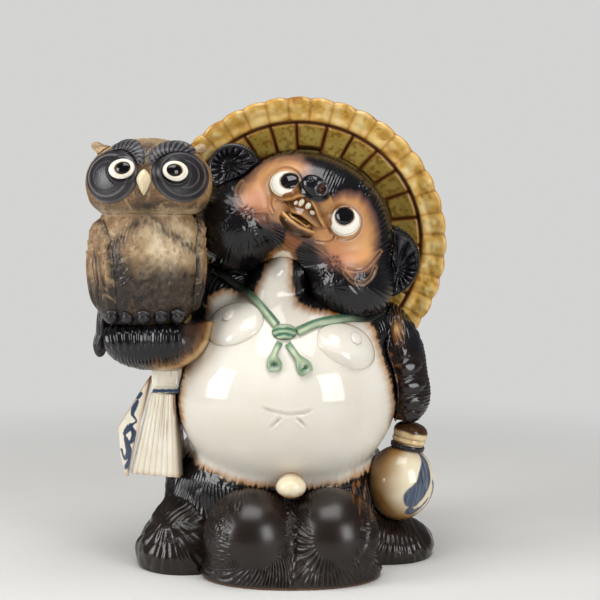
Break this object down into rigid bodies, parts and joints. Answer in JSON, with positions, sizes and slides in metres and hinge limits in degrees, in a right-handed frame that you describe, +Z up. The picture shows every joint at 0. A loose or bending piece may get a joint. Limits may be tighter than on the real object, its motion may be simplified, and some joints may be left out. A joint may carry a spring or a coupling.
{
  "type": "tanuki statue",
  "caption": "Standing glazed stoneware tanuki in a wide straw hat, with an owl perched on its hand, a ledger under one arm and a flask under the other.",
  "frame": {"origin": "on the table, under the middle of the whole figure's box", "axes": "+Z up, the figure faces -Y, and +X is towards the viewer's right, the flask's side"},
  "size_m": [0.3391, 0.2584, 0.4405],
  "materials": {
    "belly_glaze": "gloss, cream over the belly and black combed glaze at the sides, amber where the two meet",
    "black_glaze": "gloss blue-black glaze over combed fur",
    "brown_glaze": "satin dark brown glaze over combed fur, lighter on the ridges",
    "cream_glaze": "gloss cream glaze, amber at the edges",
    "green_glaze": "gloss green glaze that darkens towards the shoulders",
    "face_glaze": "gloss, orange-brown mask with black combed fur round it",
    "amber_glaze": "gloss amber-brown glaze",
    "honey_glaze": "gloss honey-yellow glaze, brown on the raised edges of the weave",
    "paper_glaze": "gloss off-white glaze with amber runs",
    "blue_glaze": "gloss cobalt blue brushwork",
    "owl_clay": "matte sandy brown scratched clay, darker towards the foot",
    "charcoal_clay": "matte charcoal slip with raised rings",
    "bone_clay": "satin bone-coloured glaze"
  },
  "bodies": {
    "root": {"trunk_front": "belly_glaze", "trunk_back": "black_glaze", "tail": "black_glaze", "pouch": "brown_glaze", "knob": "cream_glaze", "breast_left": "cream_glaze", "breast_right": "cream_glaze", "nipples": "cream_glaze", "cord_left": "green_glaze", "cord_right": "green_glaze", "cord_knot": "green_glaze", "cord_ends": "green_glaze", "head": "face_glaze", "ear_left": "black_glaze", "ear_right": "black_glaze", "muzzle": "amber_glaze", "lower_jaw": "amber_glaze", "nose": "black_glaze", "teeth": "cream_glaze", "eye_left": "cream_glaze", "eye_right": "cream_glaze", "pupils": "black_glaze", "hat": "honey_glaze", "owl_arm": "black_glaze", "flask_arm": "black_glaze", "flask_body": "cream_glaze", "flask_collar": "amber_glaze", "flask_band": "black_glaze", "ledger_pages": "paper_glaze", "ledger_cover": "paper_glaze", "ledger_tag": "paper_glaze", "ledger_tie": "blue_glaze", "owl_body": "owl_clay", "owl_head": "owl_clay", "owl_disc_left": "charcoal_clay", "owl_disc_right": "charcoal_clay", "owl_eyes": "cream_glaze", "owl_pupils": "black_glaze", "owl_beak": "bone_clay", "owl_brows": "charcoal_clay", "owl_tufts": "owl_clay", "owl_wing_left": "owl_clay", "owl_wing_right": "owl_clay", "owl_feet": "black_glaze", "owl_tail": "black_glaze"}
  },
  "joints": []
}
